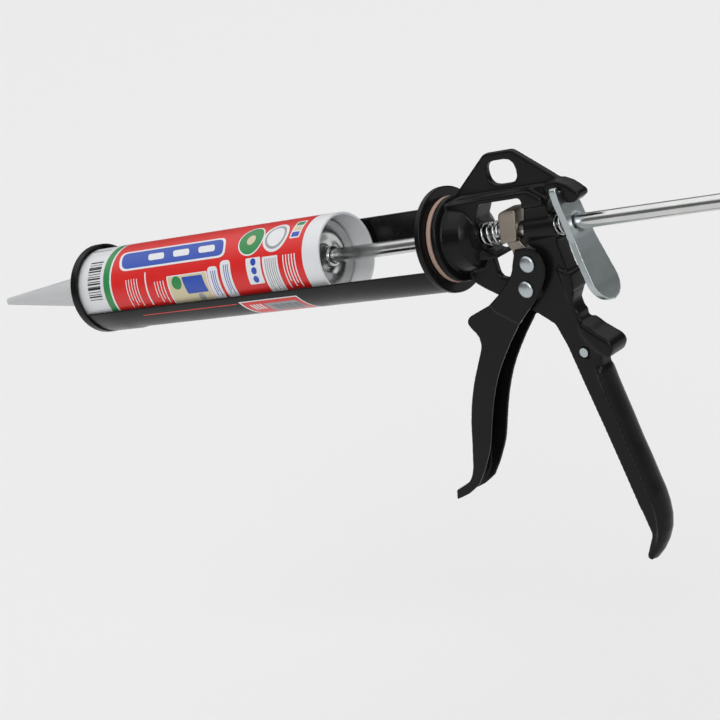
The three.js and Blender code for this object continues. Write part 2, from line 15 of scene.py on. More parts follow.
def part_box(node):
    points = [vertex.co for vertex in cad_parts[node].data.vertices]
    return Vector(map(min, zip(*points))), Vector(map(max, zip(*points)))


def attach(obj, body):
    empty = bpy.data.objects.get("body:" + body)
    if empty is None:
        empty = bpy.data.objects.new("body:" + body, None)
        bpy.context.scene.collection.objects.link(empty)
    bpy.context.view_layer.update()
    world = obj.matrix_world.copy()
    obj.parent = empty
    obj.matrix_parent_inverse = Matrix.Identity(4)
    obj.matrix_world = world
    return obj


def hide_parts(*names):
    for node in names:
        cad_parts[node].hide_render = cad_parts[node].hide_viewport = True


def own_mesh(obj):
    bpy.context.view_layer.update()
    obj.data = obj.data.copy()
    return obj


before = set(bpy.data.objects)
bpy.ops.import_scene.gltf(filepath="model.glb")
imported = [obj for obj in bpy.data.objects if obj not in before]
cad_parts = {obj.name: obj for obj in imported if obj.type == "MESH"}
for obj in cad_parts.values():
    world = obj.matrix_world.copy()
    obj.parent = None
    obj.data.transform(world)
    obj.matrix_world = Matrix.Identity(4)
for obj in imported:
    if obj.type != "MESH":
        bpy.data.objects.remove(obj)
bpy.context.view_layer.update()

MM = 0.001
ROD_FRONT = 98.0
CAP_LOW, CAP_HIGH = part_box("cradle_rear_cap")
ROD_ORIGIN = Vector((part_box("push_rod")[1].x - ROD_FRONT * MM, 0.0, (CAP_LOW.z + CAP_HIGH.z) / 2))


def place(x, y, z):
    """A point of the rod frame, in millimetres, in the row frame."""
    return ROD_ORIGIN + MM * Vector((x, y, z))


def round_rod(x, radius, angle):
    """The same for a point given by its radius and its angle in radians about the rod."""
    return place(x, radius * math.cos(angle), radius * math.sin(angle))


class Nodes:
    """A node tree whose nodes are added by short calls."""

    def __init__(self, tree):
        self.tree = tree

    def add(self, kind, settings=None, **inputs):
        """A shader node, with its sockets set to numbers or linked to other sockets. _6 is the socket
        numbered 6, where several have the same name."""
        node = self.tree.nodes.new("ShaderNode" + kind)
        for key, value in (settings or {}).items():
            setattr(node, key, value)
        for key, value in inputs.items():
            numbered = key[1:].isdigit()
            socket = node.inputs[int(key[1:]) if numbered else key.replace("_", " ")]
            if isinstance(value, bpy.types.NodeSocket):
                self.tree.links.new(value, socket)
            else:
                socket.default_value = value
        return node


# ------------------------------------------------------------------ camera, floor and light

VIEW_AZIMUTH = 222.63              # degrees, of the camera's direction from the gun
VIEW_ELEVATION = 12.16
VIEW_ROLL = -16.81
VIEW_AIM = place(40.7, 52.5, -49.7)
VIEW_DISTANCE = 1.412              # metres from the aim
VIEW_LENS = 125.0                  # millimetres, on a frame of FRAME_WIDTH
FRAME_WIDTH = 36.0

FLOOR_HEIGHT = -0.42
FLOOR_REACH = 30.0
FLOOR_SHADE = 0.84
BACKDROP_SHADE = 0.83              # what the camera sees where it looks past the floor
SKY_LOW = 0.14                     # light from near the horizon
SKY_TOP = 1.23                     # light from the wide panel overhead
SKY_TOP_EDGE = (0.5, 0.68)         # cosines between which that panel fades in
PANEL_LIGHT = 5.5                  # light from the smaller panel at the side
PANEL_TOWARDS = (-0.55, 0.72, 0.42)
PANEL_EDGE = (0.955, 0.975)


def add_camera():
    """A long lens behind the gun's left shoulder, rolled so that the handle hangs to the right."""
    data = bpy.data.cameras.new("camera")
    data.lens = VIEW_LENS
    data.sensor_width = FRAME_WIDTH
    data.clip_end = 2 * FLOOR_REACH
    camera = bpy.data.objects.new("camera", data)
    bpy.context.scene.collection.objects.link(camera)
    azimuth, elevation, roll = map(math.radians, (VIEW_AZIMUTH, VIEW_ELEVATION, VIEW_ROLL))
    level = Vector((math.cos(azimuth), math.sin(azimuth), 0.0))
    outward = Vector((math.sin(azimuth), -math.cos(azimuth), 0.0))
    back = outward * math.cos(elevation) + Vector((0.0, 0.0, math.sin(elevation)))
    right = level * math.cos(roll) + back.cross(level) * math.sin(roll)
    up = back.cross(right)
    turn = Matrix((right, up, back)).transposed().to_4x4()
    camera.matrix_world = Matrix.Translation(VIEW_AIM + back * VIEW_DISTANCE) @ turn
    bpy.context.scene.camera = camera


def sky_panel(nodes, towards, edge, strength):
    """Light from round one direction of the sky, fading in between two cosines of the angle from it."""
    where = nodes.add("TexCoord").outputs["Generated"]
    direction = Vector(towards).normalized()
    product = nodes.add("VectorMath", {"operation": "DOT_PRODUCT"}, _0=where, _1=direction)
    cosine = product.outputs["Value"]
    inputs = dict(Value=cosine, From_Min=edge[0], From_Max=edge[1], To_Max=strength)
    return nodes.add("MapRange", {"interpolation_type": "SMOOTHSTEP"}, **inputs).outputs["Result"]


def add_sky():
    """A soft studio: a wide panel overhead, a smaller one at the side and little light from the horizon.
    The camera itself sees an even pale backdrop."""
    world = bpy.data.worlds.new("studio")
    world.use_nodes = True
    nodes = Nodes(world.node_tree)
    nodes.tree.nodes.clear()
    overhead = sky_panel(nodes, (0.0, 0.0, 1.0), SKY_TOP_EDGE, SKY_TOP - SKY_LOW)
    side = sky_panel(nodes, PANEL_TOWARDS, PANEL_EDGE, PANEL_LIGHT)
    panels = nodes.add("Math", _0=overhead, _1=side).outputs["Value"]
    strength = nodes.add("Math", _0=panels, _1=SKY_LOW).outputs["Value"]
    white = (1.0, 1.0, 1.0, 1.0)
    studio = nodes.add("Background", Color=white, Strength=strength).outputs["Background"]
    backdrop = nodes.add("Background", Color=(*[BACKDROP_SHADE] * 3, 1.0)).outputs["Background"]
    seen = nodes.add("LightPath").outputs["Is Camera Ray"]
    light = nodes.add("MixShader", Fac=seen, _1=studio, _2=backdrop).outputs["Shader"]
    nodes.add("OutputWorld", Surface=light)
    bpy.context.scene.world = world
    bpy.context.scene.view_settings.view_transform = "Standard"


def add_floor():
    """A plain pale floor well under the hanging gun."""
    mesh = bpy.data.meshes.new("floor")
    square = ((-1, -1), (1, -1), (1, 1), (-1, 1))
    corners = [(x * FLOOR_REACH, y * FLOOR_REACH, FLOOR_HEIGHT) for x, y in square]
    mesh.from_pydata(corners, [], [(0, 1, 2, 3)])
    floor = bpy.data.objects.new("floor", mesh)
    bpy.context.scene.collection.objects.link(floor)
    material = bpy.data.materials.new("floor")
    material.use_nodes = True
    shader = material.node_tree.nodes["Principled BSDF"]
    shader.inputs["Base Color"].default_value = (*[FLOOR_SHADE] * 3, 1.0)
    shader.inputs["Roughness"].default_value = 0.95
    shader.inputs["Specular IOR Level"].default_value = 0.05
    mesh.materials.append(material)


add_camera()
add_sky()
add_floor()

# ------------------------------------------------------------------ materials


class Recipe(Nodes):
    """The nodes of a material, round its surface shader."""

    def __init__(self, name, **fixed):
        self.material = bpy.data.materials.new(name)
        self.material.use_nodes = True
        super().__init__(self.material.node_tree)
        self.shader = self.tree.nodes["Principled BSDF"]
        for socket, value in fixed.items():
            self.shader.inputs[socket.replace("_", " ")].default_value = value

    def link(self, output, socket):
        """Links an output to a socket of the surface shader."""
        self.tree.links.new(output, self.shader.inputs[socket])

    def place(self, scale=(1.0, 1.0, 1.0)):
        """Object coordinates, stretched by scale."""
        coordinates = self.add("TexCoord").outputs["Object"]
        return self.add("Mapping", Vector=coordinates, Scale=scale).outputs["Vector"]

    def noise(self, scale, detail=3.0, roughness=0.5, stretch=(1.0, 1.0, 1.0)):
        """Noise with about scale lumps to the metre."""
        inputs = dict(Vector=self.place(stretch), Scale=scale, Detail=detail, Roughness=roughness)
        return self.add("TexNoise", **inputs).outputs["Fac"]

    def spread(self, value, low, high, low_to, high_to):
        """Value between low and high, carried to low_to and high_to."""
        inputs = dict(Value=value, From_Min=low, From_Max=high, To_Min=low_to, To_Max=high_to)
        return self.add("MapRange", **inputs).outputs["Result"]

    def shade(self, factor, dark, light):
        """A colour between dark and light."""
        node = self.add("Mix", {"data_type": "RGBA"}, _0=factor, _6=(*dark, 1.0), _7=(*light, 1.0))
        return node.outputs[2]

    def bump(self, height, distance):
        """A relief that is distance metres deep."""
        return self.add("Bump", Height=height, Distance=distance, Strength=1.0).outputs["Normal"]


FINE_GRAIN = 0.000008              # metres, the depth of drawing marks and of a moulded grain


def black_paint(name, grain, distance, dark, light, roughness):
    """Semi-gloss black paint: fine orange peel over a slightly uneven ground."""
    recipe = Recipe(name, Specular_IOR_Level=0.17)
    cloud = recipe.noise(45.0, 4.0)
    peel = recipe.noise(grain, 2.0, 0.55)
    recipe.link(recipe.shade(cloud, (dark,) * 3, (light,) * 3), "Base Color")
    recipe.link(recipe.spread(cloud, 0.3, 0.7, roughness - 0.05, roughness + 0.06), "Roughness")
    recipe.link(recipe.bump(peel, distance), "Normal")
    return recipe.material


def plated_steel(name, dark, light, roughness, stretch):
    """Zinc plate: bluish silver with fine drawing marks."""
    recipe = Recipe(name, Metallic=1.0)
    cloud = recipe.noise(90.0, 3.0)
    marks = recipe.noise(900.0, 4.0, 0.7, stretch)
    recipe.link(recipe.shade(cloud, dark, light), "Base Color")
    recipe.link(recipe.spread(marks, 0.3, 0.7, roughness - 0.06, roughness + 0.06), "Roughness")
    recipe.link(recipe.bump(marks, FINE_GRAIN), "Normal")
    return recipe.material


def plain_plastic(name, dark, light, roughness, scatter):
    """A moulded surface with a faint grain, which lets some light in where scatter is above zero."""
    recipe = Recipe(name, Subsurface_Weight=scatter, Subsurface_Radius=(0.004, 0.004, 0.004))
    cloud = recipe.noise(60.0, 3.0)
    grain = recipe.noise(1400.0, 2.0)
    recipe.link(recipe.shade(cloud, dark, light), "Base Color")
    recipe.link(recipe.spread(cloud, 0.3, 0.7, roughness - 0.05, roughness + 0.05), "Roughness")
    recipe.link(recipe.bump(grain, FINE_GRAIN), "Normal")
    return recipe.material


def printed_ink(name, color):
    """Ink on the cartridge's glossy sleeve."""
    recipe = Recipe(name, Specular_IOR_Level=0.4)
    cloud = recipe.noise(110.0, 3.0)
    dark = [0.92 * share for share in color]
    recipe.link(recipe.shade(cloud, dark, color), "Base Color")
    recipe.link(recipe.spread(cloud, 0.3, 0.7, 0.3, 0.38), "Roughness")
    return recipe.material


CAST_PAINT = black_paint("cast_black_paint", 1300.0, 0.00005, 0.0038, 0.006, 0.27)
SHEET_PAINT = black_paint("sheet_black_paint", 2200.0, 0.00002, 0.004, 0.0062, 0.26)
ROD_PLATE = plated_steel("rod_zinc", (0.55, 0.56, 0.55), (0.7, 0.71, 0.7), 0.2, (0.05, 1.0, 1.0))
PART_PLATE = plated_steel("part_zinc", (0.4, 0.45, 0.46), (0.55, 0.6, 0.61), 0.34, (1.0, 1.0, 0.05))
SPRING_WIRE = plated_steel("spring_wire", (0.5, 0.52, 0.52), (0.66, 0.68, 0.68), 0.22, (1.0, 1.0, 1.0))
WHITE_PLASTIC = plain_plastic("cartridge_white", (0.66, 0.67, 0.69), (0.72, 0.73, 0.75), 0.4, 0.1)
NOZZLE_PLASTIC = plain_plastic("nozzle_grey_white", (0.48, 0.49, 0.5), (0.54, 0.55, 0.56), 0.45, 0.2)
FIBRE = plain_plastic("tan_fibre", (0.36, 0.24, 0.19), (0.44, 0.3, 0.24), 0.8, 0.0)
SINTERED = plated_steel("sintered_steel", (0.24, 0.21, 0.175), (0.36, 0.315, 0.27), 0.42, (1.0, 1.0, 1.0))
RED_INK = printed_ink("label_red", (0.66, 0.02, 0.018))
WHITE_INK = printed_ink("label_white", (0.74, 0.75, 0.77))
BLUE_INK = printed_ink("label_blue", (0.03, 0.08, 0.42))
GREEN_INK = printed_ink("label_green", (0.03, 0.24, 0.07))
GREY_INK = printed_ink("label_grey", (0.3, 0.31, 0.33))
YELLOW_INK = printed_ink("label_yellow", (0.62, 0.55, 0.36))
DARK_INK = printed_ink("label_dark", (0.02, 0.02, 0.022))
INKS = [RED_INK, WHITE_INK, BLUE_INK, GREEN_INK, GREY_INK, YELLOW_INK, DARK_INK]
RED, WHITE, BLUE, GREEN, GREY, YELLOW, DARK = range(7)

# ------------------------------------------------------------------ mesh helpers

REGION_EDGE = 3.0                  # millimetres over which an extra smoothing fades in


def show(name, mesh, body, materials, replaced=(), sharp=40.0):
    """Puts a finished mesh in the scene as a piece that rides on a CAD body."""
    piece = bpy.data.objects.new(name, mesh)
    bpy.context.scene.collection.objects.link(piece)
    if mesh.materials:
        mesh.materials.clear()
    for material in materials:
        mesh.materials.append(material)
    mesh.shade_smooth()
    mesh.set_sharp_from_angle(angle=math.radians(sharp))
    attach(piece, body)
    if replaced:
        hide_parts(*replaced)
    return piece


def closed_mesh(name, points, faces):
    """A mesh with its doubled points joined and its faces turned outwards."""
    mesh = bpy.data.meshes.new(name)
    mesh.from_pydata(points, [], faces)
    work = bmesh.new()
    work.from_mesh(mesh)
    bmesh.ops.remove_doubles(work, verts=work.verts, dist=1e-7)
    bmesh.ops.dissolve_degenerate(work, edges=work.edges, dist=1e-8)
    bmesh.ops.recalc_face_normals(work, faces=work.faces)
    work.to_mesh(mesh)
    work.free()
    return mesh


def eased(corners, steps=5):
    """A closed profile of (along, out, rounding) corners, as points."""
    points = []
    for i, (along, out, rounding) in enumerate(corners):
        corner = Vector((along, out))
        before = Vector(corners[i - 1][:2]) - corner
        after = Vector(corners[(i + 1) % len(corners)][:2]) - corner
        if rounding == 0:
            points.append(corner)
            continue
        reach = min(rounding, 0.48 * before.length, 0.48 * after.length)
        start = corner + before.normalized() * reach
        end = corner + after.normalized() * reach
        for step in range(steps + 1):
            t = step / steps
            points.append(start * (1 - t) ** 2 + corner * 2 * t * (1 - t) + end * t ** 2)
    return points


def turned_faces(sides, count, closed):
    """The quads of a profile of count points that is repeated all the way round."""
    faces = []
    for side in range(sides):
        this, other = side * count, (side + 1) % sides * count
        for i in range(count if closed else count - 1):
            j = (i + 1) % count
            faces.append((this + i, this + j, other + j, other + i))
    return faces


def lathe(name, corners, sides=120):
    """A closed profile turned about the rod."""
    profile = eased(corners)
    points = []
    for side in range(sides):
        angle = 2 * math.pi * side / sides
        points += [round_rod(along, out, angle) for along, out in profile]
    return closed_mesh(name, points, turned_faces(sides, len(profile), True))


def sweep(name, path, sections, sides=20):
    """A round bar along a path in the row frame; sections gives its radius in metres at each point."""
    last = len(path) - 1
    across = (path[1] - path[0]).orthogonal()
    points = []
    for i, point in enumerate(path):
        ahead = (path[min(i + 1, last)] - path[max(i - 1, 0)]).normalized()
        across = (across - ahead * across.dot(ahead)).normalized()
        other = ahead.cross(across)
        for side in range(sides):
            angle = 2 * math.pi * side / sides
            points.append(point + sections[i] * (across * math.cos(angle) + other * math.sin(angle)))
    faces = []
    for i in range(last):
        here, there = i * sides, (i + 1) * sides
        for side in range(sides):
            j = (side + 1) % sides
            faces.append((here + side, here + j, there + j, there + side))
    faces.append(tuple(range(sides)))
    faces.append(tuple(range(last * sides, len(path) * sides)))
    return closed_mesh(name, points, faces)


def baked(name, mesh, modifiers, groups=()):
    """The mesh after a row of modifiers, each a type and its settings. Groups names its vertex groups."""
    piece = bpy.data.objects.new(name, mesh)
    for group in groups:
        if group not in piece.vertex_groups:
            piece.vertex_groups.new(name=group)
    bpy.context.scene.collection.objects.link(piece)
    for kind, settings in modifiers:
        modifier = piece.modifiers.new(kind, kind)
        for key, value in settings.items():
            setattr(modifier, key, value)
    graph = bpy.context.evaluated_depsgraph_get()
    made = bpy.data.meshes.new_from_object(piece.evaluated_get(graph))
    bpy.data.objects.remove(piece)
    made.name = name
    return made


def softened(node, grain, passes, share, extra=()):
    """A copy of a CAD piece with its edges rounded over: remeshed finely, smoothed, then thinned out.
    Each of extra is a low corner, a high corner and more passes for the part of the piece between them."""
    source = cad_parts[node].data.copy()
    mesh = baked(node + "_shape", source, [("REMESH", {"mode": "VOXEL", "voxel_size": grain * MM})])
    piece = bpy.data.objects.new("softening", mesh)
    modifiers = []
    for i, (low, high, more) in enumerate(extra):
        group = piece.vertex_groups.new(name=f"region_{i}")
        for vertex in mesh.vertices:
            depth = min(*(vertex.co - low), *(high - vertex.co))
            weight = min(max(depth / (REGION_EDGE * MM), 0.0), 1.0)
            if weight > 0:
                group.add([vertex.index], weight, "REPLACE")
        modifiers.append(("SMOOTH", {"factor": 0.5, "iterations": more, "vertex_group": group.name}))
    modifiers.append(("SMOOTH", {"factor": 0.5, "iterations": passes}))
    modifiers.append(("DECIMATE", {"ratio": share}))
    groups = [group.name for group in piece.vertex_groups]
    bpy.data.objects.remove(piece)
    return baked(node + "_shape", mesh, modifiers, groups)


# ------------------------------------------------------------------ cast and pressed pieces

CAST_REGIONS = [
    (place(-110, -12, -96), place(-77, 12, -44), 45),       # the thumb horn and its neck
    (place(-84, -12, 4), place(-60, 12, 25), 25),           # the ledge round the rear column
    (place(-110, -9, 8), place(-86, 9, 30), 12),            # the lug over the release plate
    (place(-120, -12, -215), place(-70, 12, -165), 20),     # the handle's lower end
]
BLOCK_REGIONS = [(place(-64, -9, -6), place(-40, 9, 16), 25)]
# node, body, slot, material, voxel size, smoothing passes, share of faces kept, regions
SOFTENED = [
    ("body_casting", "body", "black_paint", CAST_PAINT, 0.6, 7, 0.35, CAST_REGIONS),
    ("trigger_lever", "trigger", "black_paint", SHEET_PAINT, 0.45, 5, 0.3, []),
    ("release_plate", "release", "zinc_plate", PART_PLATE, 0.4, 6, 0.35, []),
    ("grip_block", "grip", "sintered_steel", SINTERED, 0.4, 4, 0.35, BLOCK_REGIONS),
]
for node, body, slot, material, grain, passes, share, regions in SOFTENED:
    mesh = softened(node, grain, passes, share, regions)
    show(node + "_shape", mesh, body, [material], [node], 180.0)

# ------------------------------------------------------------------ turned pieces

# node: body, slot, material, closed profile of (along, out, rounding) corners
TURNED = {
    "cradle_rear_cap": ("cradle", "black_paint", SHEET_PAINT, [
        (-6.3, 10.4, 0.2), (-6.3, 30.4, 0.9), (-2.6, 30.4, 0.9), (-2.6, 10.4, 0.2)]),
    "cradle_front_ring": ("cradle", "black_paint", SHEET_PAINT, [
        (279, 26.8, 0.4), (279, 28.2, 0.4), (285.5, 28.2, 1.6), (285.5, 14, 0.5), (283.9, 14, 0.5),
        (283.9, 26.8, 0.8)]),
    "friction_washer": ("body", "fibre", FIBRE, [
        (-9.2, 10.4, 0), (-9.2, 24.6, 0.4), (-6.6, 24.6, 0.4), (-6.6, 10.4, 0)]),
    "cartridge_tube": ("cradle", "cartridge_plastic", WHITE_PLASTIC, [
        (74.7, 23.5, 0.3), (74.7, 25, 0.5), (283.2, 25, 2.4), (283.2, 9, 0.4), (295.2, 9, 0.3),
        (295.2, 6, 0.3), (281.4, 6, 0.3), (281.4, 23.5, 1.5)]),
    "cartridge_nozzle": ("cradle", "nozzle_plastic", NOZZLE_PLASTIC, [
        (286.1, 9.4, 0.2), (286.1, 12.6, 0.6), (290.7, 12.6, 0.9), (291.6, 11.2, 0.4), (377, 2.3, 0.3),
        (377, 1.3, 0.2), (295.8, 7.8, 0.3), (295.8, 9.4, 0.2)]),
    "cartridge_plunger": ("plunger", "cartridge_plastic", WHITE_PLASTIC, [
        (256.2, 0, 0), (256.2, 14, 1), (251.2, 18, 1), (251.2, 23.2, 0.4), (264.2, 23.2, 1.6),
        (264.2, 0, 0)]),
    "pressure_plate": ("rod", "bright_steel", ROD_PLATE, [
        (92.7, 4.6, 0), (92.7, 9, 3), (89.3, 14, 3), (88.5, 21.6, 0.8), (89.1, 22.4, 0.4),
        (89.9, 22.4, 0.5), (90.7, 14.4, 3), (94.1, 9.4, 3), (94.1, 4.6, 0)]),
    "rod_hub": ("rod", "bright_steel", ROD_PLATE, [
        (84.6, 4.6, 0.1), (84.6, 6.2, 1), (91.4, 6.6, 1), (92.4, 7.6, 0.4), (92.4, 4.6, 0.1)]),
}
for node, (body, slot, material, corners) in TURNED.items():
    show(node + "_shape", lathe(node + "_shape", corners), body, [material], [node])

# ------------------------------------------------------------------ cradle arms

ARM_REAR, ARM_FRONT = -2.3, 278.7
ARM_OUTER, ARM_REAR_OUTER, ARM_SHEET = 27.3, 29.6, 1.4
ARM_HALF_ANGLE = 25.0
# degrees of the arm's middle at the cap and at the ring, and which way round is down
ARM_MIDDLES = {"left": (-47.0, -47.0, -1), "right": (176.0, 172.0, 1)}
TAB_START, TAB_FULL, TAB_ANGLE, TAB_LIFT = 244.5, 252.3, 5.2, 0.7
TAB_LIFT_FROM = 0.4                # share of the arm's width where the tab starts to stand out
ARM_COLUMNS = 28
ARM_EDGE = 0.45


def arm_back(x):
    """0 at an arm's front end and 1 at its rear end."""
    return (ARM_FRONT - x) / (ARM_FRONT - ARM_REAR)


def arm_radius(x):
    """The arms' outer radius, which grows towards the rear cap."""
    return ARM_OUTER + (ARM_REAR_OUTER - ARM_OUTER) * arm_back(x)


def arm_point(side, x, share, depth):
    """A point of an arm: share is 0 at its upper edge and 1 at its lower edge, which drops at the tab."""
    at_cap, at_ring, down = ARM_MIDDLES[side]
    tab = min(max((x - TAB_START) / (TAB_FULL - TAB_START), 0.0), 1.0)
    middle = at_ring + (at_cap - at_ring) * arm_back(x)
    angle = middle - down * ARM_HALF_ANGLE + down * share * (2 * ARM_HALF_ANGLE + TAB_ANGLE * tab)
    lift = TAB_LIFT * tab * max(share - TAB_LIFT_FROM, 0.0) / (1.0 - TAB_LIFT_FROM)
    return round_rod(x, arm_radius(x) + lift - depth, math.radians(angle))


def arm_mesh(side):
    """One long strip of sheet, with a tab at its front end and rounded edges."""
    stations = [ARM_REAR, 60.0, 120.0, 180.0, TAB_START, TAB_FULL, ARM_FRONT]
    points = []
    for depth in (0.0, ARM_SHEET):
        for x in stations:
            points += [arm_point(side, x, i / ARM_COLUMNS, depth) for i in range(ARM_COLUMNS + 1)]
    wide = ARM_COLUMNS + 1
    sheet = wide * len(stations)
    faces = []
    for row in range(len(stations) - 1):
        for i in range(ARM_COLUMNS):
            corner = row * wide + i
            quad = (corner, corner + 1, corner + wide + 1, corner + wide)
            faces.append(quad)
            faces.append(tuple(sheet + k for k in reversed(quad)))
        for edge in (row * wide, row * wide + ARM_COLUMNS):
            faces.append((edge, edge + wide, sheet + edge + wide, sheet + edge))
    for row in (0, len(stations) - 1):
        for i in range(ARM_COLUMNS):
            corner = row * wide + i
            faces.append((corner, corner + 1, sheet + corner + 1, sheet + corner))
    mesh = closed_mesh("arm", points, faces)
    bevel = {"width": ARM_EDGE * MM, "segments": 3}
    bevel.update(limit_method="ANGLE", angle_limit=math.radians(50.0))
    return baked(f"cradle_arm_{side}_shape", mesh, [("BEVEL", bevel)])


for side in ARM_MIDDLES:
    node = "cradle_arm_" + side
    show(node + "_shape", arm_mesh(side), "cradle", [SHEET_PAINT], [node])

# ------------------------------------------------------------------ rod and springs

ROD_RADIUS, ROD_TAIL, ROD_BEND, ROD_FOOT = 4.25, -288.0, 12.0, -40.4
ROD_BEND_STEPS = 16


def rod_mesh():
    """The smooth rod, its tail bent down to a pull hook."""
    path = [(ROD_FRONT, 0), (ROD_FRONT - 0.5, 0), (ROD_FRONT - 1.2, 0), (ROD_TAIL + ROD_BEND, 0)]
    for step in range(1, ROD_BEND_STEPS + 1):
        turn = math.pi / 2 * step / ROD_BEND_STEPS
        path.append((ROD_TAIL + ROD_BEND * (1 - math.sin(turn)), ROD_BEND * (math.cos(turn) - 1)))
    tip = [(ROD_FOOT + 1.6, 1.0), (ROD_FOOT + 0.7, 0.93), (ROD_FOOT + 0.2, 0.8), (ROD_FOOT, 0.6)]
    path += [(ROD_TAIL, z) for z, _ in tip]
    radii = [0.82, 0.95] + [1.0] * (len(path) - 2 - len(tip)) + [share for _, share in tip]
    points = [place(x, 0, z) for x, z in path]
    return sweep("push_rod_shape", points, [ROD_RADIUS * MM * share for share in radii], 48)


show("push_rod_shape", rod_mesh(), "rod", [ROD_PLATE], ["push_rod"], 60.0)

# node: joint, start, end, radius, share of the length kept at the limit, open turns
SPRINGS = {
    "return_spring": ("grip_advance", -42.8, -29.4, 6.25, 0.4, 2.6),
    "release_spring": ("release_tilt", -87.8, -76.8, 5.6, 0.77, 2.4),
}
WIRE = 0.65
CLOSED_TURNS = 0.6
TURN_STEPS = 32


def spring_mesh(name, start, end, radius, open_turns):
    """A coil with its end turns laid close."""
    length = end - start - 2 * WIRE
    closed = CLOSED_TURNS * 2 * WIRE
    turns = open_turns + 2 * CLOSED_TURNS
    path = []
    steps = round(turns * TURN_STEPS)
    for step in range(steps + 1):
        turn = turns * step / steps
        if turn < CLOSED_TURNS:
            along = closed * turn / CLOSED_TURNS
        elif turn > turns - CLOSED_TURNS:
            along = length - closed * (turns - turn) / CLOSED_TURNS
        else:
            along = closed + (length - 2 * closed) * (turn - CLOSED_TURNS) / open_turns
        path.append(round_rod(start + WIRE + along, radius, 2 * math.pi * turn))
    return sweep(name, path, [WIRE * MM] * len(path), 12)


for node, (joint, start, end, radius, keep, open_turns) in SPRINGS.items():
    mesh = spring_mesh(node + "_shape", start, end, radius, open_turns)
    spring = show(node + "_shape", mesh, "body", [SPRING_WIRE], [node], 60.0)
    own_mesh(spring)

# ------------------------------------------------------------------ rivets and pins

RIVET_FACE, RIVET_HEAD, RIVET_DOME, RIVET_EDGE = 10.5, 4.8, 2.0, 0.3
RIVET_DOME_STEPS = 8
RIVET_SIDES = 48


def rivet_mesh(node, shaft):
    """A domed rivet across the gun, about the middle of its CAD piece."""
    low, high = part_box(node)
    centre = (low + high) / 2
    half = [(0.0, RIVET_FACE + RIVET_DOME)]
    for step in range(1, RIVET_DOME_STEPS + 1):
        turn = math.pi / 2 * step / RIVET_DOME_STEPS
        height = RIVET_EDGE + (RIVET_DOME - RIVET_EDGE) * math.cos(turn)
        half.append((RIVET_HEAD * math.sin(turn), RIVET_FACE + height))
    half += [(RIVET_HEAD, RIVET_FACE), (shaft, RIVET_FACE)]
    profile = half + [(radius, -y) for radius, y in reversed(half)]
    points = []
    for side in range(RIVET_SIDES):
        angle = 2 * math.pi * side / RIVET_SIDES
        turned = Vector((math.cos(angle), 0, math.sin(angle)))
        points += [centre + MM * (radius * turned + y * Vector((0, 1, 0))) for radius, y in profile]
    return closed_mesh(node + "_shape", points, turned_faces(RIVET_SIDES, len(profile), False))


for node, body, shaft in (("pivot_rivet", "body", 3.2), ("drive_rivet", "trigger", 3.0)):
    show(node + "_shape", rivet_mesh(node, shaft), body, [PART_PLATE], [node])

# ------------------------------------------------------------------ printing on the cartridge and the arm

STRIP = 1.25                       # width of the flat strips that the printing is bent into
LAYER = 0.03                       # height of one layer of ink over the one below


def bent_sheet(name, shapes, bend):
    """Flat outlines (points, layer, ink) in millimetres, cut into strips and bent round the rod."""
    whole = bmesh.new()
    for outline, layer, ink in shapes:
        work = bmesh.new()
        work.faces.new([work.verts.new((along, around, 0.0)) for along, around in outline])
        low = min(around for _, around in outline)
        high = max(around for _, around in outline)
        for cut in range(math.ceil(low / STRIP), math.floor(high / STRIP) + 1):
            everything = [*work.verts, *work.edges, *work.faces]
            where = Vector((0, cut * STRIP, 0))
            bmesh.ops.bisect_plane(work, geom=everything, plane_co=where, plane_no=(0, 1, 0))
        made = {v: whole.verts.new(bend(v.co.x, v.co.y, layer)) for v in work.verts}
        for face in work.faces:
            if face.normal.z < 0:
                face.normal_flip()
            whole.faces.new([made[v] for v in face.verts]).material_index = ink
        work.free()
    mesh = bpy.data.meshes.new(name)
    whole.to_mesh(mesh)
    whole.free()
    return mesh


def box_outline(left, right, low, high, slant=0.0, rounding=0.0):
    """A rectangle, or a leaning parallelogram, with its corners rounded."""
    corners = [(left, low), (right, low), (right + slant, high), (left + slant, high)]
    return [tuple(point) for point in eased([(*corner, rounding) for corner in corners], 4)]


def disc_outline(along, around, radius):
    """A circle as an outline of 40 points."""
    angles = [2 * math.pi * step / 40 for step in range(40)]
    return [(along + radius * math.cos(a), around + radius * math.sin(a)) for a in angles]


TUBE_RADIUS = 25.0
DEGREE = math.radians(TUBE_RADIUS)   # millimetres round the tube in one degree
LINE_STARTS = (0.0, 7.0, 2.0, 11.0)  # degrees by which the lines of a paragraph stop short
BAR_WIDTHS = (1, 2, 1, 1, 3, 1, 2, 1, 2, 1, 1, 2, 3, 1, 1, 2)


class Sleeve:
    """The shapes printed on the tube. Along is in millimetres, and round the tube is in degrees."""

    def __init__(self):
        self.shapes = []

    def block(self, left, right, low, high, layer, ink, slant=0.0, rounding=0.0):
        """A rectangle or a leaning parallelogram."""
        outline = box_outline(left, right, low * DEGREE, high * DEGREE, slant, rounding)
        self.shapes.append((outline, layer, ink))

    def disc(self, along, middle, radius, layer, ink):
        """A round spot."""
        self.shapes.append((disc_outline(along, middle * DEGREE, radius), layer, ink))

    def lines(self, left, right, low, high, count, ink, layer=2, gap=0.6):
        """Plain lines in place of a paragraph. gap is the share of each line's pitch left bare."""
        pitch = (right - left) / count
        for i in range(count):
            start = left + i * pitch
            self.block(start, start + (1 - gap) * pitch, low + LINE_STARTS[i % 4], high, layer, ink)


